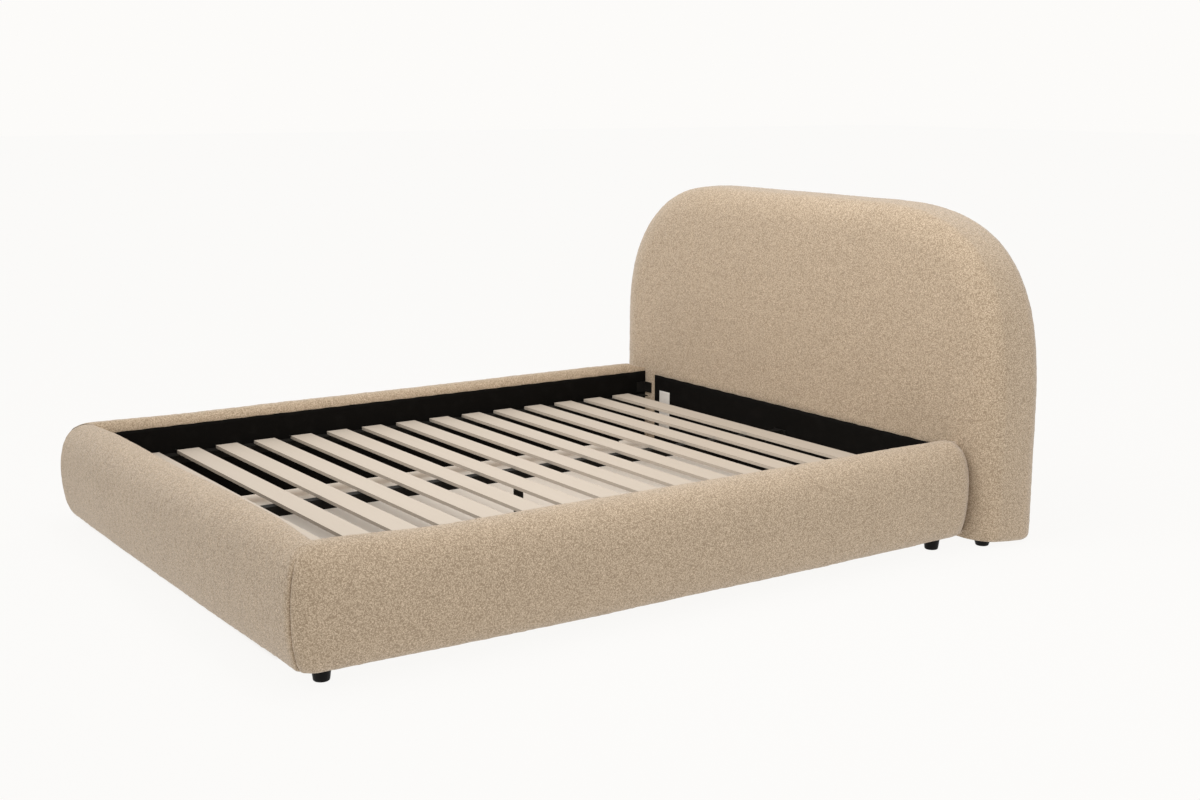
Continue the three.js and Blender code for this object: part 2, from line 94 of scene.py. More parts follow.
CORNER_RISE = {"right": 0.015, "left": 0.006}  # the same at the foot corners
RISE_RUN = 0.24  # how far along the foot rail the corner's rise passes into its own
RISE_FADE = 0.36  # how far along a side rail the corner's rise dies away
FOOT_LEAN = 0.008  # how far the foot rail's crown leans in over its inner face
END_ROUND = 0.080  # rounding of a side rail's head end
END_TURN = math.radians(66)  # how far round it the fabric runs before it meets the headboard
END_LIFT = 0.2  # share of the rounding that the rail's underside takes there

ARCH_RIGHT = (0.66, 3.15)  # reach and fullness of the upper right corner
ARCH_LEFT = (0.51, 2.3)  # the padding is a little squarer on this side
ARCH_LOWER_CORNER = 0.020  # radius of the lower corners where the headboard is widest
ARCH_LEAST_CORNER = 0.004  # and the least it comes down to nearer the front and the back
FRONT_ROUND = 0.098  # how far the front rounding reaches in from the outline
FRONT_ROUND_DEPTH = 0.058
BOTTOM_ROUND = 0.001  # the same rounding at the bottom edge
BOTTOM_SAG = 0.013  # how far the padding hangs down under the headboard
SAG_FRONT = 0.19  # it comes to that gradually, over this depth from the front
SAG_BACK = 0.03  # and back from it over this depth at the back
BACK_ROUND = 0.148  # how far the back rounding reaches in from the outline
BACK_ROUND_DEPTH = 0.106
BACK_SEAM_TURN = math.radians(52)  # seam between the two covers, round the back edge
BAND_SWELL = 0.002  # how far the band between the roundings swells
QUARTER_LENGTH = 1.12  # length of a quarter round over its chord

COVER_STEP = 0.0052  # spacing of the cover meshes
HEADBOARD_ACROSS = 284  # mesh steps along the headboard's bottom and its top
HEADBOARD_UP = 138  # and up each of its sides
END_STEPS = 18  # round a side rail's head end
HOLLOWS = ((0.0014, 0.34), (0.0007, 0.11))  # depth and size of the hollows in the padding
NUB = 0.0095  # spacing of the larger knots of pile
NUB_HEIGHT = 0.0012
SEAM_DIP = 0.006
SEAM_WIDTH = 0.0021
SEAM_PUCKER = 0.001  # shallow dip to either side of a seam, four times as wide
SEAM_FADE = (0.272, 0.302)  # heights between which a corner seam dies away towards the crown
SEAM_LEFT = 0.12  # share of its depth that is left there
HEM_CALM = (0.004, 0.03)  # heights over the headboard's bottom between which the pile comes to its full
HEM_PILE = 0.35  # share of it that stands at the bottom
PRESSED_EDGE = (0.001, 0.014)  # distances past the headboard's lining over which the fabric swells again
PRESSED_IN = 0.0022  # how far the lining presses it in

LINING_STEP = 0.012  # spacing of the lining meshes
LINING_CLOTH = 0.0008  # thickness
LINING_HEM = 0.004  # how far a side lining reaches below its board
HEM_REACH = 0.06  # the cloth is drawn down to that over this height
TACK_PITCH = 0.085
TACK_DIP = 0.0011  # how far a lining's top edge dips between its tacks
TACK_LIFT = 0.0005  # and how far it stands off there
TACK_REACH = 0.03  # both within this height of the top edge
UPPER_LIFT = 0.0006  # how far its upper part stands off
UPPER_PART = (0.19, 0.22)  # which begins between these heights over its lower edge
DUST_TACK_PITCH = 0.09
DUST_CLEAR = 0.0016  # how far the dust sheet stays below the headboard's cover
DUST_HANG = 0.0008  # and how much more it hangs between its tacks
LABEL_STEP = 0.004
LABEL_CLOTH = 0.0004
LABEL_CLEAR = 0.0006  # how far the label stands off the lining
LABEL_CURL = 0.0018  # and how much more at its lower end
LABEL_WAVE = 60  # how fast that changes across it, in radians per metre


# ---- small shape helpers ----
def smooth_step(value, low, high):
    part = np.clip((value - low) / (high - low), 0, 1)
    return part * part * (3 - 2 * part)


def quarter(width, height, fullness, steps=60):
    """A quarter of an ellipse or a squarer curve, from (0, height) to (width, 0)."""
    turn = np.linspace(0, math.pi / 2, steps)
    power = 2 / fullness
    return np.stack([width * np.sin(turn) ** power, height * np.cos(turn) ** power], 1)


def spaced(points, count):
    """The same line through count + 1 points at even distances."""
    points = np.asarray(points, float)
    length = np.concatenate([[0], np.cumsum(np.linalg.norm(np.diff(points, axis=0), axis=1))])
    wanted = np.linspace(0, length[-1], count + 1)
    return np.stack([np.interp(wanted, length, points[:, k]) for k in range(points.shape[1])], 1)


def soft_noise(points, cell, seed=0):
    """Smooth bumps from -1 to 1, about one cell across, the same at the same place each time."""
    place = points / cell + seed * 17.3
    corner = np.floor(place).astype(np.int64)
    part = place - corner
    part = part * part * (3 - 2 * part)
    total = np.zeros(points.shape[:-1])
    for dx in (0, 1):
        for dy in (0, 1):
            for dz in (0, 1):
                key = (corner[..., 0] + dx) * 73856093
                key ^= (corner[..., 1] + dy) * 19349663
                key ^= (corner[..., 2] + dz) * 83492791
                key = (key ^ (key >> 13)) * 1274126177
                value = ((key ^ (key >> 16)) & 0xFFFF) / 32767.5 - 1
                weight = np.ones(points.shape[:-1])
                for axis, side in enumerate((dx, dy, dz)):
                    weight = weight * (part[..., axis] if side else 1 - part[..., axis])
                total += value * weight
    return total


def mesh_piece(name, points, faces, material):
    """A new piece from points and four-cornered faces, smooth shaded, riding with the bed."""
    points = np.asarray(points, np.float32).reshape(-1, 3)
    faces = np.asarray(faces, np.int32).reshape(-1, 4)
    mesh = bpy.data.meshes.new(name)
    mesh.vertices.add(len(points))
    mesh.vertices.foreach_set("co", points.ravel())
    mesh.loops.add(faces.size)
    mesh.loops.foreach_set("vertex_index", faces.ravel())
    mesh.polygons.add(len(faces))
    mesh.polygons.foreach_set("loop_start", np.arange(0, faces.size, 4, dtype=np.int32))
    mesh.polygons.foreach_set("use_smooth", np.ones(len(faces), bool))
    mesh.update(calc_edges=True)
    mesh.validate()
    mesh.materials.append(material)
    piece = bpy.data.objects.new(name, mesh)
    bpy.context.scene.collection.objects.link(piece)
    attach(piece, "root")
    return piece


def grid_faces(rows, columns, start=0, wraps=False):
    """Faces between neighbouring rows of a grid of points; wraps joins the last column to the first."""
    across = columns if wraps else columns - 1
    row, column = np.meshgrid(np.arange(rows - 1), np.arange(across), indexing="ij")
    after = (column + 1) % columns
    corners = [row * columns + column, row * columns + after,
               (row + 1) * columns + after, (row + 1) * columns + column]
    return np.stack(corners, -1).reshape(-1, 4) + start


def grid_normals(grid, wraps=False):
    along = np.gradient(grid, axis=0)
    if wraps:
        across = np.roll(grid, -1, axis=1) - np.roll(grid, 1, axis=1)
    else:
        across = np.gradient(grid, axis=1)
    normal = np.cross(along, across)
    return normal / np.maximum(np.linalg.norm(normal, axis=-1, keepdims=True), 1e-12)


def pile_lift(points):
    """How far the padded fabric stands in or out: soft hollows in the padding, and knots of pile."""
    hollows = sum(depth * soft_noise(points, size, 1 + k) for k, (depth, size) in enumerate(HOLLOWS))
    knots = 0.62 * soft_noise(points, NUB, 3) + 0.38 * soft_noise(points, NUB * 1.9, 4)
    return hollows + NUB_HEIGHT * knots


# ---- rails ----
def rail_section():
    """(distance out from the inner face, height) round a rail, from inside under the lining
    over the crown and down to the staples under the board."""
    inner = [(BEHIND_LINING, LINING_TOP - INNER_TUCK), (BEHIND_LINING, LINING_TOP)]
    turn = np.linspace(0, math.pi / 2, 24)
    crown = np.stack([CROWN_ROUND - (CROWN_ROUND - BEHIND_LINING) * np.cos(turn),
                      LINING_TOP + CROWN_ROUND * np.sin(turn)], 1)
    upper = quarter(RAIL_DEPTH - CROWN_ROUND, RAIL_TOP - RAIL_WIDEST, RAIL_FULLNESS)
    upper = upper + [CROWN_ROUND, RAIL_WIDEST]
    lower = quarter(RAIL_TUCK, RAIL_WIDEST - RAIL_BOTTOM, 2)[::-1]
    lower = lower * [1, -1] + [RAIL_DEPTH - RAIL_TUCK, RAIL_WIDEST]
    under = [(STAPLE_LINE, RAIL_BOTTOM)]
    line = np.concatenate([inner, crown[1:], upper[1:], lower[1:], under])
    length = np.linalg.norm(np.diff(line, axis=0), axis=1).sum()
    return spaced(line, round(length / COVER_STEP))


def held_edges(out):
    """0 where the cover is held flat behind the lining and near the staples, 1 where it is free."""
    from_staples = np.arange(len(out))[::-1] * COVER_STEP
    return smooth_step(out, *INNER_HOLD) * smooth_step(from_staples, 0, STAPLE_HOLD)


def stations(length, fine_start, fine_end):
    """Distances along a rail: even, and closer together near a seam at either end."""
    fine = np.array([0, 0.0008, 0.0018, 0.0032, 0.005, 0.0075, 0.011])
    begin = fine if fine_start else np.array([0.0])
    stop = length - fine[::-1] if fine_end else np.array([length])
    count = round((stop[0] - begin[-1]) / COVER_STEP)
    middle = np.linspace(begin[-1], stop[0], count + 1)[1:-1]
    return np.concatenate([begin, middle, stop])


def corner_place(out, turn):
    """Plan position at the right-hand foot corner, turned round from the foot rail's face.
    The corner is sharp at the inner face and rounds out to its full radius at the widest point."""
    radius = CORNER_RADIUS * out / RAIL_DEPTH
    x = INNER_HALF + out - radius + radius * np.sin(turn)
    y = FOOT_INNER - out + radius - radius * np.cos(turn)
    return x, y


def crown_rise(points, side):
    """How much higher the padding stands than the plain section: most on the foot rail, less at
    the corner, and very little beyond the foot end of the side rail."""
    past_corner = np.minimum(np.abs(points[..., 0]) - INNER_HALF - RAIL_DEPTH / 2, 0)
    past_corner = past_corner + np.maximum(points[..., 1] - FOOT_INNER + RAIL_DEPTH / 2, 0)
    on_foot = FOOT_RISE + FOOT_RISE_RIGHT * smooth_step(points[..., 0], -0.2, 0.35)
    share = smooth_step(-past_corner, 0, RISE_RUN)
    rise = CORNER_RISE[side] * (1 - share) + on_foot * share
    upper = smooth_step(points[..., 2], RAIL_WIDEST, LINING_TOP)
    near_foot = smooth_step(-past_corner, -RISE_FADE, 0)
    return (SIDE_RISE * (1 - near_foot) + rise * near_foot) * upper


def side_rail_grid(side):
    """A side rail's cover, as on the right: from the foot corner seam to the headboard."""
    section = rail_section()
    out, height = section[:, 0], section[:, 1]
    slope = np.gradient(section, axis=0)
    slope /= np.linalg.norm(slope, axis=1, keepdims=True)
    outward = np.stack([-slope[:, 1], slope[:, 0]], 1)
    holds = held_edges(out)
    arc = CORNER_RADIUS * (math.pi / 2 - SEAM_ANGLE)
    straight_start = FOOT_INNER - RAIL_DEPTH + CORNER_RADIUS
    round_start = HEAD_END - END_ROUND * math.sin(END_TURN)
    rows = []
    for distance in stations(arc + round_start - straight_start, True, False):
        if distance < arc:
            x, y = corner_place(out, SEAM_ANGLE + distance / CORNER_RADIUS)
        else:
            begin = FOOT_INNER - out + CORNER_RADIUS * out / RAIL_DEPTH
            share = (distance - arc) / (round_start - straight_start)
            x, y = INNER_HALF + out, begin + share * (round_start - begin)
        rows.append(np.stack([x, y, height], 1))
    for turn in np.linspace(0, END_TURN, END_STEPS + 1)[1:]:
        inset = END_ROUND * (1 - math.cos(turn)) * holds
        y = np.full(len(out), round_start + END_ROUND * math.sin(turn))
        lift = np.where(outward[:, 1] < 0, END_LIFT, 1) * inset
        rows.append(np.stack([INNER_HALF + out - outward[:, 0] * inset, y,
                              height - outward[:, 1] * lift], 1))
    grid = np.array(rows)
    y_middle = (straight_start + HEAD_END) / 2
    y_half = (HEAD_END - straight_start) / 2
    swell = np.clip(1 - ((grid[..., 1] - y_middle) / y_half) ** 2, 0, 1)
    grid[..., 0] += SIDE_BOW * swell * smooth_step(out, 0.01, RAIL_DEPTH)
    grid[..., 2] -= SIDE_SAG * swell * smooth_step(-height, -RAIL_WIDEST, -RAIL_BOTTOM)
    grid[..., 2] += crown_rise(grid, side) * smooth_step(out, 0, 0.02)
    return grid, holds


def foot_rail_grid():
    """The foot rail's cover, from its left-hand corner seam to its right-hand one."""
    section = rail_section()
    out, height = section[:, 0], section[:, 1]
    holds = held_edges(out)
    arc = CORNER_RADIUS * SEAM_ANGLE
    straight = 2 * (INNER_HALF + RAIL_DEPTH - CORNER_RADIUS)
    rows = []
    for distance in stations(2 * arc + straight, True, True):
        radius = CORNER_RADIUS * out / RAIL_DEPTH
        edge = INNER_HALF + out - radius
        if distance < arc:
            x, y = corner_place(out, (arc - distance) / CORNER_RADIUS)
            x = -x
        elif distance > arc + straight:
            x, y = corner_place(out, (distance - arc - straight) / CORNER_RADIUS)
        else:
            x, y = edge * (2 * (distance - arc) / straight - 1), FOOT_INNER - out
        rows.append(np.stack([x, y, height], 1))
    grid = np.array(rows)
    swell = np.clip(1 - (grid[..., 0] / (INNER_HALF + RAIL_DEPTH - CORNER_RADIUS)) ** 2, 0, 1)
    grid[..., 1] -= FOOT_BOW * swell * smooth_step(out, 0.01, RAIL_DEPTH)
    full = smooth_step(-np.abs(grid[..., 0]), -INNER_HALF - 0.04, -INNER_HALF + 0.2)
    inner = smooth_step(-out, -0.06, -CROWN_ROUND * 0.5)
    inner = inner * smooth_step(height, LINING_TOP - 0.012, LINING_TOP + 0.012)
    rise = np.where(grid[..., 0] > 0, crown_rise(grid, "right"), crown_rise(grid, "left"))
    grid[..., 2] += rise * smooth_step(out, 0, 0.02)
    grid[..., 1] += FOOT_LEAN * full * inner
    return grid, holds


def seam_valley(grid, at_start, at_end):
    """How far the cover dips where it is sewn to its neighbour."""
    step = np.linalg.norm(np.diff(grid, axis=0), axis=-1)
    from_start = np.concatenate([np.zeros((1, grid.shape[1])), np.cumsum(step, axis=0)])
    to_end = from_start[-1] - from_start
    dip = np.zeros(grid.shape[:2])
    for wanted, distance in ((at_start, from_start), (at_end, to_end)):
        if wanted:
            dip += SEAM_DIP * np.exp(-((distance / SEAM_WIDTH) ** 2))
            dip += SEAM_PUCKER * np.exp(-((distance / (4 * SEAM_WIDTH)) ** 2))
    below_crown = 1 - smooth_step(grid[..., 2], *SEAM_FADE)
    return dip * (SEAM_LEFT + (1 - SEAM_LEFT) * below_crown)


def fabric_surface(grid, holds, dip):
    """The grid with its pile and seams, pushed along the surface's own normals."""
    normal = grid_normals(grid)
    if (normal[len(grid) // 2, grid.shape[1] // 2] @ [0, 0, 1]) < 0:
        normal = -normal
    lift = pile_lift(grid) * holds - dip * holds
    return grid + normal * lift[..., None]


def closed_end(grid):
    """The grid with more rows that close a rail's head end, flat against the headboard."""
    last = grid[-1]
    middle = last[last.shape[0] // 5: -last.shape[0] // 5].mean(axis=0)
    middle[1] = HEAD_END
    rows = []
    for share in (0.97, 0.9, 0.75, 0.5, 0.25, 0.02):
        row = middle + (last - middle) * share
        row[:, 1] = HEAD_END
        rows.append(row)
    return np.concatenate([grid, rows])


def make_rail_covers(fabric):
    for side, mirror in (("right", 1), ("left", -1)):
        grid, holds = side_rail_grid(side)
        shaped = fabric_surface(grid, holds, seam_valley(grid, True, False))
        points = closed_end(shaped) * [mirror, 1, 1]
        faces = grid_faces(*points.shape[:2])
        if mirror > 0:
            faces = faces[:, ::-1]
        piece = mesh_piece("bolster_cover_side_" + side, points, faces, fabric)
        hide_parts("side_rail_cover_" + side, "side_rail_foam_" + side)
    grid, holds = foot_rail_grid()
    shaped = fabric_surface(grid, holds, seam_valley(grid, True, True))
    faces = grid_faces(*shaped.shape[:2])[:, ::-1]
    piece = mesh_piece("bolster_cover_foot", shaped, faces, fabric)
    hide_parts("foot_rail_cover", "foot_rail_foam")


# ---- headboard ----
def arch_side(inset, bottom_inset, arch):
    """One half of the headboard's outline as three lines: bottom, side and top."""
    radius, fullness = arch
    corner = max(ARCH_LOWER_CORNER - 0.1 * inset, ARCH_LEAST_CORNER)
    right = HEAD_HALF - inset
    bottom = HEAD_BOTTOM + bottom_inset
    flat = HEAD_HALF - radius
    spring = HEAD_TOP - radius
    turn = np.linspace(0, math.pi / 2, 25)
    low = np.stack([right - corner * (1 - np.sin(turn)), bottom + corner * (1 - np.cos(turn))], 1)
    high = quarter(radius - inset, radius - inset, fullness, 121)[::-1] + [flat, spring]
    run_bottom = np.concatenate([[(0, bottom)], low[:13]])
    run_side = np.concatenate([low[12:], high[:61]])
    run_top = np.concatenate([high[60:], [(0, HEAD_TOP - inset)]])
    return run_bottom, run_side, run_top


def arch_ring(inset, bottom_inset):
    """The whole outline from its lower left corner round by the right."""
    across, up = HEADBOARD_ACROSS, HEADBOARD_UP
    bottom, side, top = arch_side(inset, bottom_inset, ARCH_RIGHT)
    mirror = [-1, 1]
    far_bottom, far_side, far_top = [line * mirror for line in arch_side(inset, bottom_inset, ARCH_LEFT)]
    whole_bottom = np.concatenate([far_bottom[::-1], bottom[1:]])
    whole_top = np.concatenate([top, far_top[::-1][1:]])
    parts = [spaced(whole_bottom, across)[:-1], spaced(side, up)[:-1],
             spaced(whole_top, across)[:-1], spaced(far_side[::-1], up)[:-1]]
    return np.concatenate(parts)


def filled_ring(ring):
    """A grid of points that fills a ring made by arch_ring, its own points at the edges."""
    across, up = HEADBOARD_ACROSS, HEADBOARD_UP
    closed = np.concatenate([ring, ring[:1]])
    bottom = closed[: across + 1]
    right = closed[across: across + up + 1]
    top = closed[across + up: 2 * across + up + 1][::-1]
    left = closed[2 * across + up:][::-1]
    a = np.linspace(0, 1, across + 1)[:, None, None]
    b = np.linspace(0, 1, up + 1)[None, :, None]
    edges = (1 - b) * bottom[:, None] + b * top[:, None] + (1 - a) * left[None] + a * right[None]
    corners = ((1 - a) * (1 - b) * bottom[0] + a * (1 - b) * bottom[-1]
               + (1 - a) * b * top[0] + a * b * top[-1])
    return edges - corners


def bottom_sag(y):
    """How much lower the padding hangs at this depth of the headboard."""
    sag = BOTTOM_SAG * smooth_step(y, HEAD_FRONT, HEAD_FRONT + SAG_FRONT)
    return sag * smooth_step(-y, -HEAD_BACK, -HEAD_BACK + SAG_BACK)


def headboard_rings(profile):
    rings = []
    for inset, bottom_inset, y in profile:
        flat = arch_ring(inset, bottom_inset - bottom_sag(y))
        rings.append(np.stack([flat[:, 0], np.full(len(flat), y), flat[:, 1]], 1))
    return np.array(rings)


def front_profile():
    """(inset, inset at the bottom, y) from the flat front round the edge to the back seam."""
    rows = []
    count = round(math.hypot(FRONT_ROUND, FRONT_ROUND_DEPTH) * QUARTER_LENGTH / COVER_STEP)
    for turn in np.linspace(0, math.pi / 2, count + 1):
        share = 1 - math.sin(turn)
        rows.append((FRONT_ROUND * share, BOTTOM_ROUND * share,
                     HEAD_FRONT + FRONT_ROUND_DEPTH * (1 - math.cos(turn))))
    band = (HEAD_FRONT + FRONT_ROUND_DEPTH, HEAD_BACK - BACK_ROUND_DEPTH)
    for share in np.linspace(0, 1, round((band[1] - band[0]) / COVER_STEP) + 1)[1:-1]:
        swell = -BAND_SWELL * math.sin(math.pi * share)
        rows.append((swell, 0.0, band[0] + share * (band[1] - band[0])))
    return rows + back_profile(0, BACK_SEAM_TURN)


def back_profile(start, end):
    """The same round the back edge, from one turn to another."""
    rows = []
    for turn in np.linspace(start, end, round(BACK_ROUND * (end - start) / COVER_STEP) + 1):
        share = 1 - math.cos(turn)
        rows.append((BACK_ROUND * share, BOTTOM_ROUND * share,
                     HEAD_BACK - BACK_ROUND_DEPTH * (1 - math.sin(turn))))
    return rows


def outward_normals(rings, border, facing):
    """The rings' normals, pointing out; the border ring's run straight along the face's."""
    normal = grid_normals(rings, wraps=True)
    middle = rings.mean(axis=(0, 1))
    if ((rings - middle) * normal).sum() < 0:
        normal = -normal
    normal[border] = [0, facing, 0]
    return normal


def padded_rings(rings, normal, seam_last):
    """The rings with their pile, and the dip where one cover is sewn to the other."""
    step_length = np.linalg.norm(np.diff(rings, axis=0), axis=-1)
    run = np.concatenate([np.zeros((1, rings.shape[1])), np.cumsum(step_length, axis=0)])
    from_seam = run[-1] - run if seam_last else run
    dip = SEAM_DIP * np.exp(-((from_seam / SEAM_WIDTH) ** 2))
    above_hem = smooth_step(rings[..., 2], HEAD_BOTTOM + HEM_CALM[0], HEAD_BOTTOM + HEM_CALM[1])
    calm = HEM_PILE + (1 - HEM_PILE) * above_hem
    return rings + normal * (pile_lift(rings) * calm - dip)[..., None]


def make_headboard_cover(name, profile, is_front, fabric, nodes):
    """A cover made of one filled face and the rings that carry it round the edge to the seam.
    The face's own border is the first ring of the front cover and the last one of the back."""
    rings = headboard_rings(profile)
    border = 0 if is_front else len(rings) - 1
    facing = -1 if is_front else 1
    face = filled_ring(rings[border])
    face_lift = pile_lift(face)
    if is_front:
        face_lift = pressed_by_lining(face, face_lift)
    face[..., 1] += facing * face_lift
    rings = padded_rings(rings, outward_normals(rings, border, facing), is_front)
    edge = grid_faces(len(rings), rings.shape[1], wraps=True)[:, ::-1]
    index = face_index(rings.shape[0] * rings.shape[1], border * rings.shape[1])
    fill = np.stack([index[:-1, :-1], index[1:, :-1], index[1:, 1:], index[:-1, 1:]], -1).reshape(-1, 4)
    if not is_front:
        fill = fill[:, ::-1]
    points = np.concatenate([rings.reshape(-1, 3), face[1:-1, 1:-1].reshape(-1, 3)])
    piece = mesh_piece(name, points, np.concatenate([edge, fill]), fabric)
    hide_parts(*nodes)


def pressed_by_lining(face, lift):
    """The tacked lining holds the fabric flat behind it, and it swells again past the edges."""
    _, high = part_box("headboard_lining")
    near, far = PRESSED_EDGE
    under = smooth_step(-np.abs(face[..., 0]), -high[0] - far, -high[0] - near)
    under = under * smooth_step(-face[..., 2], -high[2] - far, -high[2] - near)
    return lift * (1 - under) - PRESSED_IN * under


def face_index(start, border):
    """Point numbers of a filled face, inner ones from start: its edge uses the border ring's."""
    across, up = HEADBOARD_ACROSS, HEADBOARD_UP
    index = np.zeros((across + 1, up + 1), np.int64)
    index[1:-1, 1:-1] = np.arange((across - 1) * (up - 1)).reshape(across - 1, up - 1) + start
    ring = np.arange(2 * (across + up)) + border
    closed = np.concatenate([ring, ring[:1]])
    index[:, 0] = closed[: across + 1]
    index[-1, :] = closed[across: across + up + 1]
    index[:, -1] = closed[across + up: 2 * across + up + 1][::-1]
    index[0, :] = closed[2 * across + up:][::-1]
    return index


def make_headboard_covers(fabric):
    make_headboard_cover("headboard_front_cover", front_profile(), True, fabric,
                         ["headboard_cover", "headboard_front_foam", "headboard_edge_foam"])
    make_headboard_cover("headboard_back_cover", back_profile(BACK_SEAM_TURN, math.pi / 2), False, fabric,
                         ["headboard_back_foam"])


# ---- finishes ----
def node(tree, kind, inputs=None, **settings):
    """A node with its settings, and each input either a value or another node's output."""
    made = tree.nodes.new(kind)
    for name, value in settings.items():
        setattr(made, name, value)
    for name, value in (inputs or {}).items():
        if isinstance(value, bpy.types.NodeSocket):
            tree.links.new(value, made.inputs[name])
        else:
            made.inputs[name].default_value = value
    return made


def math_node(tree, operation, first, second=0.0, clamp=False):
    made = node(tree, "ShaderNodeMath", {0: first, 1: second}, operation=operation, use_clamp=clamp)
    return made.outputs[0]


def blend_colour(tree, share, first, second, kind="MIX"):
    made = node(tree, "ShaderNodeMix", data_type="RGBA", blend_type=kind)
    for number, value in ((0, share), (6, first), (7, second)):
        if isinstance(value, bpy.types.NodeSocket):
            tree.links.new(value, made.inputs[number])
        else:
            made.inputs[number].default_value = value
    return made.outputs[2]


def scaled_place(tree, place, factors):
    return node(tree, "ShaderNodeVectorMath", {0: place, 1: factors}, operation="MULTIPLY").outputs[0]


def map_range(tree, value, low, high, kind="LINEAR"):
    """0 at low and 1 at high."""
    return node(tree, "ShaderNodeMapRange", {"Value": value, "From Min": low, "From Max": high},
                interpolation_type=kind).outputs[0]


def new_group(name, inputs, outputs):
    """A shader node group: inputs and outputs as (name, kind). Each use of it sets all its inputs."""
    tree = bpy.data.node_groups.new(name, "ShaderNodeTree")
    for label, kind in inputs:
        tree.interface.new_socket(label, in_out="INPUT", socket_type=kind)
    for label, kind in outputs:
        tree.interface.new_socket(label, in_out="OUTPUT", socket_type=kind)
    return tree, tree.nodes.new("NodeGroupInput"), tree.nodes.new("NodeGroupOutput")


FLOAT, COLOUR = "NodeSocketFloat", "NodeSocketColor"


def looped_pile_group():
    """Curled loops of pile: deep gaps, rounded tips, each knot a little lighter or darker; the gaps get a
    darker colour, painted shade in the pile's hollows.
    """
    tree, given, result = new_group(
        "looped_pile",
        [("Loop Size", FLOAT), ("Shaded Gap", COLOUR), ("Tip", COLOUR), ("Mottle", FLOAT)],
        [("Colour", COLOUR), ("Height", FLOAT)])
    place = node(tree, "ShaderNodeTexCoord").outputs["Object"]
    per_metre = math_node(tree, "DIVIDE", 1.0, given.outputs["Loop Size"])
    drift = node(tree, "ShaderNodeTexNoise", {"Vector": place, "Scale": 130.0, "Detail": 1.0})
    shift = node(tree, "ShaderNodeVectorMath", {0: drift.outputs["Color"], 1: (0.5, 0.5, 0.5)},
                 operation="SUBTRACT").outputs[0]
    shift = scaled_place(tree, shift, (0.009, 0.009, 0.009))
    bent = node(tree, "ShaderNodeVectorMath", {0: place, 1: shift}, operation="ADD").outputs[0]
    knots = node(tree, "ShaderNodeTexVoronoi", {"Vector": bent, "Scale": per_metre, "Smoothness": 0.6},
                 feature="SMOOTH_F1")
    finer = math_node(tree, "MULTIPLY", per_metre, 2.1)
    curls = node(tree, "ShaderNodeTexVoronoi", {"Vector": bent, "Scale": finer}, feature="F1")
    thread = node(tree, "ShaderNodeTexNoise", {"Vector": bent, "Scale": finer, "Detail": 2.0})
    knot_height = map_range(tree, knots.outputs["Distance"], 0.7, 0.05)
    curl_height = map_range(tree, curls.outputs["Distance"], 0.65, 0.05)
    ridge = math_node(tree, "ABSOLUTE", math_node(tree, "SUBTRACT", thread.outputs["Fac"], 0.5))
    ridge = math_node(tree, "SUBTRACT", 1.0, math_node(tree, "MULTIPLY", ridge, 6.0), clamp=True)
    height = math_node(tree, "MULTIPLY", knot_height, 0.55)
    height = math_node(tree, "ADD", height, math_node(tree, "MULTIPLY", curl_height, 0.25))
    height = math_node(tree, "ADD", height, math_node(tree, "MULTIPLY", ridge, 0.2))
    # painted shade: the colour is darker where the pile is low, towards the gaps between its knots
    tone = map_range(tree, height, 0.1, 0.8, "SMOOTHSTEP")
    colour = blend_colour(tree, tone, given.outputs["Shaded Gap"], given.outputs["Tip"])
    single = node(tree, "ShaderNodeSeparateColor", {"Color": knots.outputs["Color"]}).outputs[0]
    patches = node(tree, "ShaderNodeTexNoise", {"Vector": place, "Scale": 7.0, "Detail": 3.0})
    vary = math_node(tree, "ADD", math_node(tree, "MULTIPLY", single, 0.7), patches.outputs["Fac"])
    vary = math_node(tree, "SUBTRACT", vary, 0.85)
    vary = math_node(tree, "MULTIPLY", vary, given.outputs["Mottle"])
    level = math_node(tree, "ADD", 1.0, vary)
    grey = node(tree, "ShaderNodeCombineColor", {"Red": level, "Green": level, "Blue": level}).outputs[0]
    colour = blend_colour(tree, 1.0, colour, grey, "MULTIPLY")
    tree.links.new(colour, result.inputs["Colour"])
    tree.links.new(height, result.inputs["Height"])
    return tree


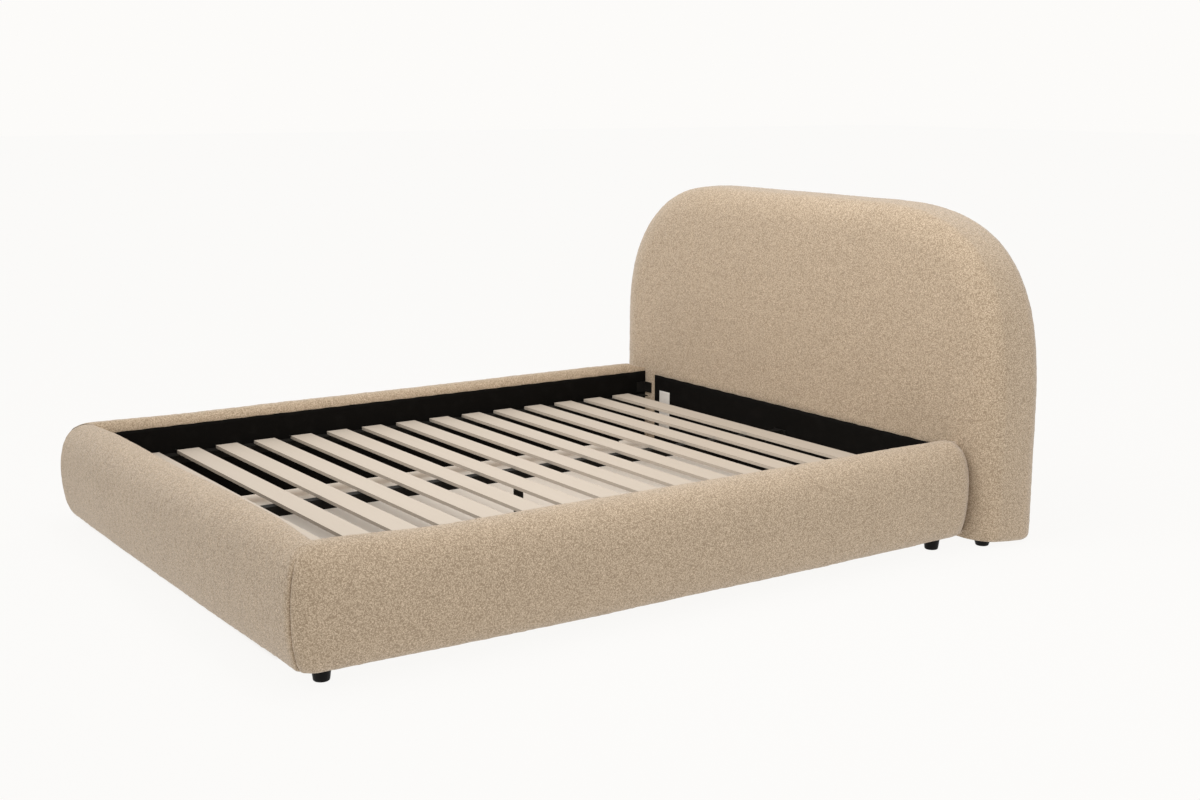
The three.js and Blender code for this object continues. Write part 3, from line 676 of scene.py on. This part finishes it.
def wood_grain_group():
    """Straight wood grain along X: early and late wood, fine pores, slow changes of tone."""
    tree, given, result = new_group(
        "wood_grain",
        [("Pale", COLOUR), ("Dark", COLOUR), ("Ring Width", FLOAT), ("Contrast", FLOAT)],
        [("Colour", COLOUR), ("Height", FLOAT)])
    place = node(tree, "ShaderNodeTexCoord").outputs["Object"]
    along = scaled_place(tree, place, (0.045, 1.0, 0.35))
    per_metre = math_node(tree, "DIVIDE", 1.0, given.outputs["Ring Width"])
    wander = node(tree, "ShaderNodeTexNoise", {"Vector": along, "Scale": 9.0, "Detail": 2.0})
    shift = scaled_place(tree, wander.outputs["Color"], (0.0, 0.05, 0.02))
    bent = node(tree, "ShaderNodeVectorMath", {0: along, 1: shift}, operation="ADD").outputs[0]
    rings = node(tree, "ShaderNodeTexNoise", {"Vector": bent, "Scale": per_metre, "Detail": 3.0,
                                              "Roughness": 0.6})
    fine_place = scaled_place(tree, place, (0.02, 1.0, 1.0))
    pores = node(tree, "ShaderNodeTexNoise", {"Vector": fine_place, "Scale": 900.0, "Detail": 2.0})
    tones = node(tree, "ShaderNodeTexNoise", {"Vector": scaled_place(tree, place, (0.25, 1.0, 1.0)),
                                              "Scale": 9.0, "Detail": 1.0})
    share = math_node(tree, "MULTIPLY", rings.outputs["Fac"], 0.6)
    share = math_node(tree, "ADD", share, math_node(tree, "MULTIPLY", pores.outputs["Fac"], 0.25))
    share = math_node(tree, "ADD", share, math_node(tree, "MULTIPLY", tones.outputs["Fac"], 0.5))
    share = math_node(tree, "SUBTRACT", share, 0.35)
    share = math_node(tree, "MULTIPLY", share, given.outputs["Contrast"], clamp=True)
    colour = blend_colour(tree, share, given.outputs["Pale"], given.outputs["Dark"])
    height = math_node(tree, "ADD", rings.outputs["Fac"], pores.outputs["Fac"])
    tree.links.new(colour, result.inputs["Colour"])
    tree.links.new(height, result.inputs["Height"])
    return tree


def fine_grain_group():
    """The small, even grain of powder coat and moulded plastic, with faint rubbed patches."""
    tree, given, result = new_group(
        "fine_grain",
        [("Colour", COLOUR), ("Rubbed", COLOUR), ("Grain Size", FLOAT), ("Rough Low", FLOAT),
         ("Rough High", FLOAT)],
        [("Colour", COLOUR), ("Height", FLOAT), ("Roughness", FLOAT)])
    place = node(tree, "ShaderNodeTexCoord").outputs["Object"]
    per_metre = math_node(tree, "DIVIDE", 1.0, given.outputs["Grain Size"])
    grain = node(tree, "ShaderNodeTexNoise", {"Vector": place, "Scale": per_metre, "Detail": 1.0})
    patches = node(tree, "ShaderNodeTexNoise", {"Vector": place, "Scale": 28.0, "Detail": 4.0})
    worn = map_range(tree, patches.outputs["Fac"], 0.5, 0.75)
    colour = blend_colour(tree, worn, given.outputs["Colour"], given.outputs["Rubbed"])
    rough = node(tree, "ShaderNodeMapRange", {
        "Value": patches.outputs["Fac"], "From Min": 0.3, "From Max": 0.7,
        "To Min": given.outputs["Rough Low"], "To Max": given.outputs["Rough High"]}).outputs[0]
    tree.links.new(colour, result.inputs["Colour"])
    tree.links.new(grain.outputs["Fac"], result.inputs["Height"])
    tree.links.new(rough, result.inputs["Roughness"])
    return tree


GROUPS = {"pile": looped_pile_group(), "wood": wood_grain_group(), "grain": fine_grain_group()}


def new_finish(name, roughness=0.5, specular=0.5):
    """A material with one Principled shader and its plain numbers set on the shader."""
    material = bpy.data.materials.new(name)
    material.use_nodes = True
    tree = material.node_tree
    shader = tree.nodes["Principled BSDF"]
    shader.inputs["Roughness"].default_value = roughness
    shader.inputs["Specular IOR Level"].default_value = specular
    return material, tree, shader


def add_bump(tree, shader, height, strength, distance):
    bump = node(tree, "ShaderNodeBump", {"Height": height, "Strength": strength, "Distance": distance})
    tree.links.new(bump.outputs["Normal"], shader.inputs["Normal"])


def placed_group(tree, key, values):
    made = tree.nodes.new("ShaderNodeGroup")
    made.node_tree = GROUPS[key]
    for name, value in values.items():
        made.inputs[name].default_value = value
    return made


def sand_boucle():
    material, tree, shader = new_finish("sand_boucle", roughness=0.95, specular=0.12)
    shader.inputs["Sheen Weight"].default_value = 0.36
    shader.inputs["Sheen Roughness"].default_value = 0.45
    shader.inputs["Sheen Tint"].default_value = (1.0, 0.975, 0.955, 1)
    # the gap colour is painted shade in the hollows of the pile
    pile = placed_group(tree, "pile", {"Loop Size": 0.0033, "Shaded Gap": (0.29, 0.216, 0.143, 1),
                                       "Tip": (0.665, 0.531, 0.391, 1), "Mottle": 0.09})
    tree.links.new(pile.outputs["Colour"], shader.inputs["Base Color"])
    add_bump(tree, shader, pile.outputs["Height"], 0.45, 0.0025)
    return material


def black_lining():
    material, tree, shader = new_finish("black_lining", roughness=0.95, specular=0.06)
    grain = placed_group(tree, "grain", {
        "Colour": (0.0042, 0.0036, 0.003, 1), "Rubbed": (0.007, 0.0062, 0.0054, 1),
        "Grain Size": 0.0022, "Rough Low": 0.8, "Rough High": 0.95})
    tree.links.new(grain.outputs["Colour"], shader.inputs["Base Color"])
    tree.links.new(grain.outputs["Roughness"], shader.inputs["Roughness"])
    add_bump(tree, shader, grain.outputs["Height"], 0.5, 0.0006)
    return material


def wood_finish(name, pale, dark, ring_width, contrast, roughness):
    material, tree, shader = new_finish(name, roughness=roughness, specular=0.3)
    grain = placed_group(tree, "wood", {
        "Pale": pale, "Dark": dark, "Ring Width": ring_width, "Contrast": contrast})
    tree.links.new(grain.outputs["Colour"], shader.inputs["Base Color"])
    add_bump(tree, shader, grain.outputs["Height"], 0.25, 0.0006)
    return material


def coated_finish(name, colour, rubbed, grain_size, rough, bump, specular):
    material, tree, shader = new_finish(name, specular=specular)
    grain = placed_group(tree, "grain", {
        "Colour": colour, "Rubbed": rubbed, "Grain Size": grain_size,
        "Rough Low": rough[0], "Rough High": rough[1]})
    tree.links.new(grain.outputs["Colour"], shader.inputs["Base Color"])
    tree.links.new(grain.outputs["Roughness"], shader.inputs["Roughness"])
    add_bump(tree, shader, grain.outputs["Height"], bump, 0.0004)
    return material


def make_finishes():
    return {
        "fabric": sand_boucle(),
        "lining": black_lining(),
        "slat_wood": wood_finish("pale_slat_wood", (0.525, 0.455, 0.380, 1), (0.440, 0.372, 0.294, 1),
                                 0.010, 0.55, 0.6),
        "board_wood": wood_finish("frame_wood", (0.56, 0.42, 0.26, 1), (0.36, 0.24, 0.13, 1),
                                  0.006, 0.8, 0.7),
        "black_steel": coated_finish("black_powder_coat", (0.0075, 0.0065, 0.0052, 1),
                                     (0.013, 0.011, 0.009, 1), 0.0009, (0.58, 0.72), 0.3, 0.15),
        "black_plastic": coated_finish("moulded_black_plastic", (0.004, 0.0037, 0.0034, 1),
                                       (0.007, 0.0065, 0.006, 1), 0.0006, (0.34, 0.5), 0.25, 0.1),
        "label_cloth": coated_finish("white_woven_tape", (0.65, 0.615, 0.57, 1), (0.59, 0.555, 0.515, 1),
                                     0.0008, (0.75, 0.9), 0.5, 0.3),
    }


# ---- linings and label ----
def panel_grid(across, up, spacing):
    """Even grid on a flat panel: across and up are (low, high)."""
    columns = round((across[1] - across[0]) / spacing) + 1
    rows = round((up[1] - up[0]) / spacing) + 1
    return np.meshgrid(np.linspace(*across, columns), np.linspace(*up, rows), indexing="ij")


def between_tacks(along, pitch):
    """0 at each tack of a row, 1 halfway to the next."""
    return 0.5 - 0.5 * np.cos(2 * math.pi * along / pitch)


def tacked_panel(low, high, axis):
    """An upright cloth in its box: the places along it, their heights with the top edge dipping
    between its tacks, and how far they stand off."""
    along, height = panel_grid((low[axis], high[axis]), (low[2], high[2]), LINING_STEP)
    loose = between_tacks(along, TACK_PITCH) * smooth_step(height, high[2] - TACK_REACH, high[2])
    upper = smooth_step(height, low[2] + UPPER_PART[0], low[2] + UPPER_PART[1])
    return along, height - TACK_DIP * loose, TACK_LIFT * loose + UPPER_LIFT * upper


def lining_piece(name, points, finish, node_name, flip):
    faces = grid_faces(*points.shape[:2])
    if flip:
        faces = faces[:, ::-1]
    piece = mesh_piece(name, points, faces, finish)
    thick = piece.modifiers.new("thickness", "SOLIDIFY")
    thick.thickness = LINING_CLOTH
    thick.offset = -1
    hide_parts(node_name)


def make_side_linings(finish):
    for side, sign in (("right", 1), ("left", -1)):
        low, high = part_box("side_rail_lining_" + side)
        along, height, lift = tacked_panel(low, high, 1)
        swell = np.clip(1 - (2 * (along - low[1]) / (high[1] - low[1]) - 1) ** 2, 0, 1)
        hem = (LINING_HEM + SIDE_SAG * swell) * smooth_step(-height, -low[2] - HEM_REACH, -low[2])
        face = sign * (INNER_HALF + LINING_THICKNESS * 0.5 - lift)
        points = np.stack([face, along, height - hem], -1)
        lining_piece("inner_lining_side_" + side, points, finish, "side_rail_lining_" + side,
                     sign > 0)


def make_foot_lining(finish):
    low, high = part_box("foot_rail_lining")
    along, height, lift = tacked_panel(low, high, 0)
    points = np.stack([along, FOOT_INNER - LINING_THICKNESS * 0.5 + lift, height], -1)
    lining_piece("inner_lining_foot", points, finish, "foot_rail_lining",
                 False)


def make_headboard_lining(finish):
    low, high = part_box("headboard_lining")
    along, height, lift = tacked_panel(low, high, 0)
    points = np.stack([along, low[1] + LINING_CLOTH * 0.5 - lift, height], -1)
    lining_piece("headboard_lower_lining", points, finish, "headboard_lining",
                 True)


def make_dust_sheet(finish):
    low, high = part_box("headboard_dust_cover")
    along, deep = panel_grid((low[0], high[0]), (low[1], high[1]), LINING_STEP)
    hang = bottom_sag(deep) + DUST_CLEAR + DUST_HANG * between_tacks(along, DUST_TACK_PITCH)
    points = np.stack([along, deep, HEAD_BOTTOM - hang], -1)
    lining_piece("headboard_dust_sheet", points, finish, "headboard_dust_cover",
                 True)


def make_label(finish):
    """Sewn on by its top edge; the rest hangs free and curls."""
    low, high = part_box("care_label")
    across, up = panel_grid((low[0], high[0]), (low[2], high[2]), LABEL_STEP)
    free = smooth_step(-up, -high[2], -low[2])
    wave = 0.6 + 0.4 * np.sin((across - low[0]) * LABEL_WAVE)
    points = np.stack([across, low[1] - LABEL_CURL * free * wave - LABEL_CLEAR, up], -1)
    piece = mesh_piece("blank_label", points, grid_faces(*points.shape[:2])[:, ::-1], finish)
    thick = piece.modifiers.new("thickness", "SOLIDIFY")
    thick.thickness = LABEL_CLOTH
    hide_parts("care_label")


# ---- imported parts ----
def finish_packed_parts(finishes):
    soft = ("fabric", "foam", "lining", "label_cloth")
    softened_edge = {"slat_wood": 0.0012, "board_wood": 0.001, "black_steel": 0.0005,
                     "black_plastic": 0.0006}
    for part in frame["record"]["subparts"]:
        slot = part["material_slot"]
        if slot in soft:
            continue
        piece = frame["nodes"][part["node"]]
        for place in piece.material_slots:
            place.link = "OBJECT"
            place.material = finishes[slot]
        bevel = piece.modifiers.new("softened_edges", "BEVEL")
        bevel.width = softened_edge[slot]
        bevel.segments = 2
        bevel.limit_method = "ANGLE"
        bevel.angle_limit = math.radians(40)


# ---- camera, floor and light ----
CAMERA_PLACE = Vector((4.0553, -2.5793, 1.3328))
CAMERA_YAW = math.radians(55.44)  # from +Y towards -X
CAMERA_PITCH = math.radians(10.95)  # down
CAMERA_ROLL = math.radians(0.24)
CAMERA_LENS = 48.59  # mm, on a sensor CAMERA_SENSOR wide
CAMERA_SENSOR = 36


def make_camera():
    lens = bpy.data.cameras.new("camera")
    lens.lens = CAMERA_LENS
    lens.sensor_width = CAMERA_SENSOR
    lens.clip_end = 100
    camera = bpy.data.objects.new("camera", lens)
    bpy.context.scene.collection.objects.link(camera)
    ahead = Vector((-math.sin(CAMERA_YAW) * math.cos(CAMERA_PITCH),
                    math.cos(CAMERA_YAW) * math.cos(CAMERA_PITCH), -math.sin(CAMERA_PITCH)))
    right = ahead.cross(Vector((0, 0, 1))).normalized()
    up = right.cross(ahead)
    turned = right * math.cos(CAMERA_ROLL) + up * math.sin(CAMERA_ROLL)
    up = turned.cross(ahead)
    facing = Matrix((turned, up, -ahead)).transposed().to_4x4()
    camera.matrix_world = Matrix.Translation(CAMERA_PLACE) @ facing
    bpy.context.scene.camera = camera


FLOOR_REACH = 40
SHADED_RIGHT = 0.60  # the floor glows outside these four, so that no hard shadow rings the bed
SHADED_LEFT = -0.95
SHADED_FOOT = -1.12
SHADED_HEAD = 1.15
GLOW_EDGE = 0.03  # half the width over which the glow comes up
GLOW = (0.925, 0.917, 0.903, 1)
GLOWING_PAINT = (0.04, 0.0397, 0.0394, 1)
# painted warm light: the floor in the shaded rectangle, mostly under the bed, is warmer than the glowing
# floor round it
WARMED_UNDER_BED_PAINT = (0.80, 0.745, 0.68, 1)
SLIGHT_GLOW = (0.15, 0.130, 0.108, 1)  # under the bed, towards the headboard and the left-hand rail
SLIGHT_HEAD = (-0.5, 0.3)  # depths between which it comes up
SLIGHT_LEFT = (-0.60, -0.72)
NO_GLOW = (0.0, 0.0, 0.0, 1)


def make_floor():
    mesh = bpy.data.meshes.new("floor")
    corners = [(-1, -1), (1, -1), (1, 1), (-1, 1)]
    mesh.from_pydata([(x * FLOOR_REACH, y * FLOOR_REACH, 0) for x, y in corners], [], [(0, 1, 2, 3)])
    floor = bpy.data.objects.new("floor", mesh)
    bpy.context.scene.collection.objects.link(floor)
    material, tree, shader = new_finish("floor_paint", roughness=0.8, specular=0.0)
    place = node(tree, "ShaderNodeSeparateXYZ", {0: node(tree, "ShaderNodeTexCoord").outputs["Object"]})
    x, y = place.outputs["X"], place.outputs["Y"]
    across = math_node(tree, "MAXIMUM", math_node(tree, "SUBTRACT", x, SHADED_RIGHT),
                       math_node(tree, "SUBTRACT", SHADED_LEFT, x))
    along = math_node(tree, "MAXIMUM", math_node(tree, "SUBTRACT", SHADED_FOOT, y),
                      math_node(tree, "SUBTRACT", y, SHADED_HEAD))
    outside = math_node(tree, "MAXIMUM", across, along)
    lit = map_range(tree, outside, -GLOW_EDGE, GLOW_EDGE, "SMOOTHSTEP")
    # painted light: the floor under the bed gets a slight warm glow towards the headboard and the
    # left-hand rail
    slight_glow_share = math_node(tree, "MAXIMUM", map_range(tree, y, *SLIGHT_HEAD, "SMOOTHSTEP"),
                           map_range(tree, x, *SLIGHT_LEFT, "SMOOTHSTEP"))
    below = blend_colour(tree, slight_glow_share, NO_GLOW, SLIGHT_GLOW)
    # the floor's paint: the warm painted light in the shaded rectangle, the glowing floor's outside it
    tree.links.new(blend_colour(tree, lit, WARMED_UNDER_BED_PAINT, GLOWING_PAINT), shader.inputs["Base Color"])
    tree.links.new(blend_colour(tree, lit, below, GLOW), shader.inputs["Emission Color"])
    shader.inputs["Emission Strength"].default_value = 1.0
    mesh.materials.append(material)


def make_area_light(name, place, target, size, power):
    """A rectangular lamp; its power is in watts."""
    light = bpy.data.lights.new(name, "AREA")
    light.shape = "RECTANGLE"
    light.size, light.size_y = size
    light.energy = power
    lamp = bpy.data.objects.new(name, light)
    bpy.context.scene.collection.objects.link(lamp)
    ahead = (Vector(target) - Vector(place)).normalized()
    facing = ahead.to_track_quat("-Z", "Y").to_matrix().to_4x4()
    lamp.matrix_world = Matrix.Translation(Vector(place)) @ facing


def make_lights():
    world = bpy.data.worlds.new("studio")
    bpy.context.scene.world = world
    world.use_nodes = True
    background = world.node_tree.nodes["Background"]
    background.inputs["Color"].default_value = (0.976, 0.965, 0.948, 1)
    background.inputs["Strength"].default_value = 1.0
    make_area_light("over_bed", (0.35, -0.5, 2.6), (0, 1.1, 0.6), (1.8, 1.2), 39)
    make_area_light("from_right", (3.8, 0.5, 1.9), (0.9, 0.5, 0.2), (2.0, 2.0), 11)
    bpy.context.scene.view_settings.view_transform = "Standard"


finishes = make_finishes()
make_camera()
make_floor()
make_lights()
make_rail_covers(finishes["fabric"])
make_headboard_covers(finishes["fabric"])
make_side_linings(finishes["lining"])
make_foot_lining(finishes["lining"])
make_headboard_lining(finishes["lining"])
make_dust_sheet(finishes["lining"])
make_label(finishes["label_cloth"])
finish_packed_parts(finishes)
